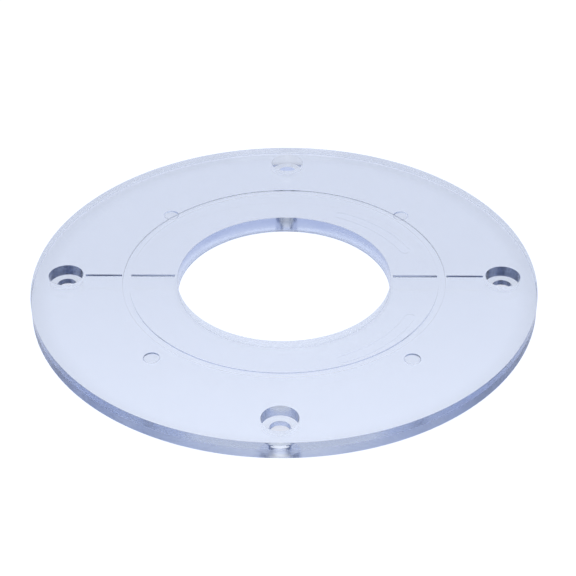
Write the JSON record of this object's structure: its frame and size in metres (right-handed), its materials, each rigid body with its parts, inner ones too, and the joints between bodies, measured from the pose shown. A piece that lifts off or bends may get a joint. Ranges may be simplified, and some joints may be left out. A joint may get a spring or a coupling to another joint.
{
  "type": "router sub base",
  "caption": "Clear round sub base for a wood router, with a central bit opening, sunk screw holes near the rim, a ring groove and index lines.",
  "frame": {"origin": "on the axis of the bit opening, in the flat face that lies against the router", "axes": "+Z out of the sliding face, along the bit's axis; X along the index lines; two screw holes on X and two on Y"},
  "size_m": [0.15, 0.15, 0.0053],
  "materials": {
    "clear_polycarbonate": "clear polycarbonate with a cool blue tint, smooth faces and faint lines round the rim"
  },
  "bodies": {
    "root": {"sub_base_plate": "clear_polycarbonate"}
  },
  "joints": []
}
